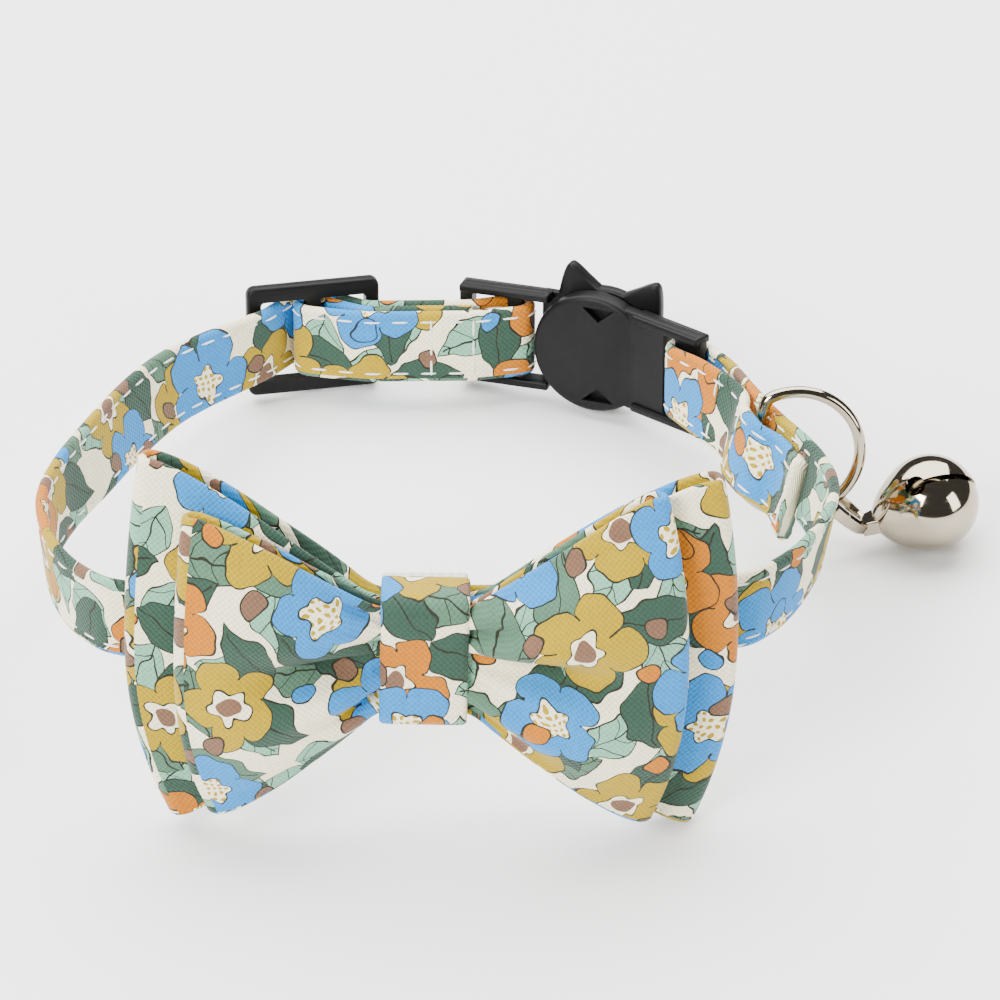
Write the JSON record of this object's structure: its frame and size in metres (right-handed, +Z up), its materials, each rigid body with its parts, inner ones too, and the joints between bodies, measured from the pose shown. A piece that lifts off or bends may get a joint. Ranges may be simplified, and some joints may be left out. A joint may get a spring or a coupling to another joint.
{
  "type": "pet_collar",
  "caption": "Small cloth pet collar with a double bow tie, cat-head buckle, slider, D-ring and a round bell",
  "frame": {"origin": "middle of the footprint on the ground, under the collar as it stands", "axes": "+X to the right along the strap's front, +Y from the bow to the buckle, +Z up"},
  "size_m": [0.1156, 0.0984, 0.0481],
  "materials": {
    "printed_cotton": "matte",
    "bow_cotton": "matte",
    "knot_cotton": "matte",
    "white_elastic": "matte",
    "black_acetal": "satin",
    "plated_nickel": "polished"
  },
  "bodies": {
    "root": {"strap": "printed_cotton", "bow_back": "bow_cotton", "bow_front": "bow_cotton", "bow_knot": "knot_cotton", "bow_keeper": "white_elastic", "slider": "black_acetal", "buckle_left": "black_acetal", "buckle_right": "black_acetal", "d_ring": "plated_nickel", "bell": "plated_nickel"}
  },
  "joints": []
}
